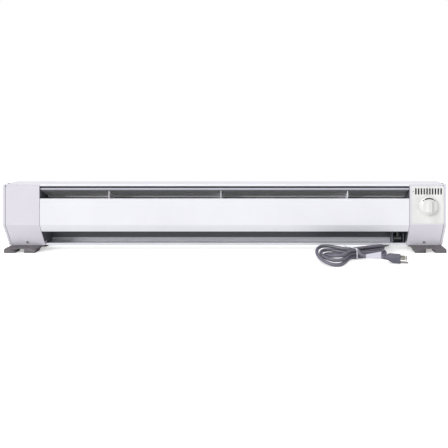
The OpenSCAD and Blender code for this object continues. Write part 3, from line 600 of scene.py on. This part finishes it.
def build_marks():
    """Printed setting marks: an arc and two dots on the skirt, and an index over the knob."""
    arc_half, dot_angle, dot_half = 32, 43, 4     # degrees
    skirt_mark("setting_arc", 3.4 * MM, -arc_half, arc_half, 16)
    for side, angle in (("left", -dot_angle), ("right", dot_angle)):
        skirt_mark("setting_dot_" + side, 2.8 * MM, angle - dot_half, angle + dot_half, 4)

    plate_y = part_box("control_plate")[0].y
    index_z = knob_centre.z + 30.5 * MM
    triangle = ((-1.1, 1), (1.1, 1), (0, -1.2))   # millimetres across and up
    mesh = bmesh.new()
    loft(mesh, [[Vector((knob_centre.x + x * MM, y, index_z + z * MM)) for x, z in triangle]
                for y in (plate_y - ink_over, plate_y + ink_under)])
    piece("index_mark", mesh, CASE, "control_plate", [dial_ink])


# ---- Mains cord ----

def cord_centres():
    """The middles of the CAD cord's rings, from its end inside the case to the plug."""
    lying_below = 30 * MM                         # only the stretch that enters the case is higher
    mesh = cad_mesh("power_cord")
    raised = [v for v in mesh.verts if v.co.z > lying_below]
    end_y = min(v.co.y for v in raised)
    ring = {v for v in raised if v.co.y < end_y + 0.01 * MM}
    seen, centres = set(), []
    while ring:
        centres.append(sum((v.co for v in ring), Vector()) / len(ring))
        seen |= ring
        ring = {e.other_vert(v) for v in ring for e in v.link_edges} - seen
    mesh.free()
    return centres


def build_cord():
    """The cord, with the lay of its three cores showing faintly through the jacket."""
    radius, lay, sides = 4.5 * MM, 70 * MM, 16
    spacing = 3 * MM
    relief = 0.015                                # how far the cores show, as a share of the radius
    path = smooth_path(cord_centres(), spacing)

    def section(i):
        turn = 2 * math.pi * i * spacing / lay
        return [polar(radius * (1 - relief + relief * math.cos(3 * (a - turn))), a) for a in turns(sides)]

    mesh = bmesh.new()
    sweep(mesh, path, section)
    finished("power_cord", mesh)


upward = Vector((0, 0, 1))
bundle_angle = math.radians(15.6)
along_bundle = Vector((math.cos(bundle_angle), math.sin(bundle_angle), 0))
across_bundle = Vector((math.sin(bundle_angle), -math.cos(bundle_angle), 0))   # towards the front


def build_tie():
    """A wire tie wound round the bundle at a slant, with its twisted ends standing up at the back."""
    low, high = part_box("cord_tie")
    middle = (low + high) / 2
    middle.z = 0

    def at(along, across, up):
        """Millimetres along and across the bundle and up, as a point in the frame."""
        return middle + (along_bundle * along + across_bundle * across + upward * up) * MM

    inset = 0.3                                   # from the CAD tie's top and bottom to the ribbon's middle
    top, bottom = high.z / MM - inset, low.z / MM + inset
    front, back = (8, 11.9), (-12, -15.2)         # places along and across of the upright sides
    corners = [at(*front, bottom), at(*front, top), at(*back, top), at(*back, bottom)]
    loop = fillet(corners, 5 * MM, 6, closed=True)
    # A flat ribbon with its wire as a ridge along the middle of one face
    ribbon = ((0.25, -1.8), (0.25, -0.5), (0.6, 0), (0.25, 0.5), (0.25, 1.8), (-0.2, 1.8), (-0.2, -1.8))
    strap = [Vector(point) * MM for point in ribbon]
    mesh = bmesh.new()
    sweep(mesh, loop, lambda i: strap, closed=True, upright=along_bundle)

    start = at(-11, -13.6, top)
    lean = (along_bundle * -10 + across_bundle * -6 + upward * 4) * MM
    steps, windings, wound = 24, 1.6, 0.55        # the tails wind round each other over this share of them
    tail_r = 0.7 * MM
    for offset in (0, math.pi):
        tail = [start]
        for share in (step / steps for step in range(1, steps + 1)):
            twist = 2 * math.pi * windings * min(share / wound, 1) + offset
            spread = 1.1 * MM + 3.5 * MM * max(0, share - wound)
            around = across_bundle * math.cos(twist) + upward * math.sin(twist)
            tail.append(start + lean * share + around * spread)
        sweep(mesh, tail, lambda i: [polar(tail_r, a) for a in turns(8)])
    finished("cord_tie", mesh, smooth=40)


# ---- Plug ----

cord_line = cord_centres()
neck = cord_line[-1]
plug_way = (cord_line[-1] - cord_line[-2]).normalized()
plug_side = Vector((-plug_way.y, plug_way.x, 0)).normalized()
plug_roll = math.radians(8)


def from_plug(along, across, up, roll=plug_roll):
    """Millimetres along the plug, to its left and up, as a point in the frame."""
    side = across * math.cos(roll) - up * math.sin(roll)
    rise = across * math.sin(roll) + up * math.cos(roll)
    return neck + (plug_way * along + plug_side * side + upward * rise) * MM


def ramp(value, start, end):
    """0 before start, 1 after end and smooth in between."""
    share = max(0, min(1, (value - start) / (end - start)))
    return share * share * (3 - 2 * share)


def build_plug():
    """A moulded plug: ridged neck, a taper with grip ribs, and a square-shouldered head. Millimetres."""
    start, length, step, sides = 0.1, 43, 0.5, 48
    neck_r, more_width, more_height = 5.2, 4.7, 6.2   # the head is wider and higher than the neck each way
    ridge_depth, ridge_pitch = 0.5, 2.6
    rib_depth, rib_pitch = 0.4, 3.4
    rim_round = 1.3
    count = round(length / step)
    rings = []
    for i in range(count + 1):
        along = start + (length - start) * i / count
        body = ramp(along, 5, 20)
        above = neck_r + more_height * ramp(along, 3, 15)
        below = neck_r + more_height * ramp(along, 8, 25)
        necked, gripped = 1 - ramp(along, 5, 8), ramp(along, 12, 15) * (1 - ramp(along, 31, 34))
        ridge = ridge_depth * necked * (math.cos(2 * math.pi * along / ridge_pitch) > 0.2)
        rib = rib_depth * gripped * max(0, math.cos(2 * math.pi * along / rib_pitch))
        ending = ramp(along, length - 1.6, length + 0.6)
        rim = rim_round * (1 - math.sqrt(max(0, 1 - ending ** 2)))
        inset = ridge + rib + rim
        half_width = neck_r + more_width * body
        ring = squared(half_width - inset, (above + below) / 2 - inset, 2 + 0.9 * body, sides)
        rings.append([from_plug(along, point.x, point.y + (above - below) / 2) for point in ring])
    mesh = bmesh.new()
    loft(mesh, rings)
    finished("plug_body", mesh, smooth=40)
    refined("plug_blades", 0.3 * MM)
    refined("ground_pin", 0.2 * MM)


def build_tag():
    """A label folded round the cord, its free end flaring and curling a little."""
    long_steps, high_steps, thick = 20, 10, 0.4
    start, length = -44, 39                       # where it starts along the cord, counted from the plug
    bottom, near_top, flare = -3.5, 5.5, 10       # heights over the cord's middle; the top rises by the flare
    beside, lean = 5.6, 0.10                      # how far it hangs beside the cord's middle, and its slope
    front, back = [], []
    for i in range(long_steps + 1):
        share = i / long_steps
        along = start + length * share
        top = near_top + flare * share
        front_row, back_row = [], []
        for j in range(high_steps + 1):
            rise = j / high_steps
            up = bottom + (top - bottom) * rise
            bulge = 1.2 * math.sin(math.pi * share) * (1 - rise)
            curl = (share * rise) ** 2
            across = -beside - bulge + lean * up + curl
            front_row.append(from_plug(along, across, up, 0))
            back_row.append(from_plug(along, across + thick, up, 0))
        front.append(front_row)
        back.append(back_row)
    mesh = bmesh.new()
    thin_solid(mesh, front, back)
    collar = [(-38, 5.15), (-12, 5.15), (-12, 4.6), (-38, 4.6)]   # place along the cord, and radius
    rings = [[mesh.verts.new(from_plug(along, *polar(radius, a), 0)) for a in turns(32)]
             for along, radius in collar]
    join_rings(mesh, rings, closed=True)
    finished("cord_tag", mesh)


# ---- Stage ----

def build_floor():
    """A pale floor that the camera sees overexposed, as a studio sweep is."""
    bpy.ops.mesh.primitive_plane_add(size=30)     # metres
    floor = bpy.context.object
    floor.name = "studio_floor"
    look = Look("studio_floor")
    haze = look.noise(0.5, 3)
    pale = look.mix(look.spread(haze, 0.3, 0.7, 0, 1), (0.86, 0.86, 0.86, 1), (0.88, 0.88, 0.88, 1))
    path = look.nodes.new("ShaderNodeLightPath")
    look.feed(look.shader.inputs["Emission Color"], (1, 1, 1, 1))
    glow = look.spread(path.outputs["Is Camera Ray"], 0, 1, 0, 0.45)
    look.feed(look.shader.inputs["Emission Strength"], glow)
    floor.data.materials.append(look.made(pale, 0.9, shine=0.1))


def soft_light(name, way, strength, softness):
    """Light from one direction, softened over an angle in degrees."""
    light = bpy.data.lights.new(name, "SUN")
    light.energy = strength
    light.angle = math.radians(softness)
    lamp = bpy.data.objects.new(name, light)
    lamp.rotation_euler = Vector(way).to_track_quat("-Z", "Y").to_euler()
    bpy.context.scene.collection.objects.link(lamp)


def build_lights():
    """A white room that lights less than it shows, an overhead light, and a key from the front left."""
    world = bpy.data.worlds.new("studio")
    bpy.context.scene.world = world
    world.use_nodes = True
    tree = world.node_tree
    background = tree.nodes["Background"]
    background.inputs["Color"].default_value = (1, 1, 1, 1)
    path = tree.nodes.new("ShaderNodeLightPath")
    strength = tree.nodes.new("ShaderNodeMapRange")
    strength.inputs["To Min"].default_value = 0.5
    strength.inputs["To Max"].default_value = 1.0
    tree.links.new(path.outputs["Is Camera Ray"], strength.inputs["Value"])
    tree.links.new(strength.outputs["Result"], background.inputs["Strength"])
    soft_light("overhead", way=(0, 0.1, -1), strength=1.6, softness=90)
    soft_light("key", way=(0.85, 0.62, -0.38), strength=1.7, softness=15)
    bpy.context.scene.view_settings.view_transform = "Standard"


def keep_shift_at_home(camera, home, name, amount):
    """Gives the lens its shift only while the camera stands at home, so that other views are centred."""
    gone = 50 * MM                                # at this distance from home the shift is all gone
    curve = camera.data.driver_add(name)
    curve.driver.type = "SUM"
    distance = curve.driver.variables.new()
    distance.type = "LOC_DIFF"
    distance.targets[0].id = camera
    distance.targets[1].id = home
    for modifier in list(curve.modifiers):
        curve.modifiers.remove(modifier)
    for away, shift in ((0, amount), (gone, 0)):
        curve.keyframe_points.insert(away, shift).interpolation = "LINEAR"


def build_camera():
    """A level camera a little above the heater and to the right of its middle."""
    at = Vector((149.6, -1163.5, 371)) * MM
    level = (math.radians(90), 0, 0)
    camera = bpy.data.objects.new("camera", bpy.data.cameras.new("camera"))
    home = bpy.data.objects.new("camera_home", None)
    for thing in (camera, home):
        thing.location = at
        bpy.context.scene.collection.objects.link(thing)
    camera.rotation_euler = level
    camera.data.lens = 34.2
    camera.data.clip_start = 0.05
    keep_shift_at_home(camera, home, "shift_x", -0.1228)
    keep_shift_at_home(camera, home, "shift_y", -0.2339)
    bpy.context.scene.camera = camera


build_casing()
build_knob()
build_marks()
build_cord()
build_tie()
build_plug()
build_tag()
build_floor()
build_lights()
build_camera()
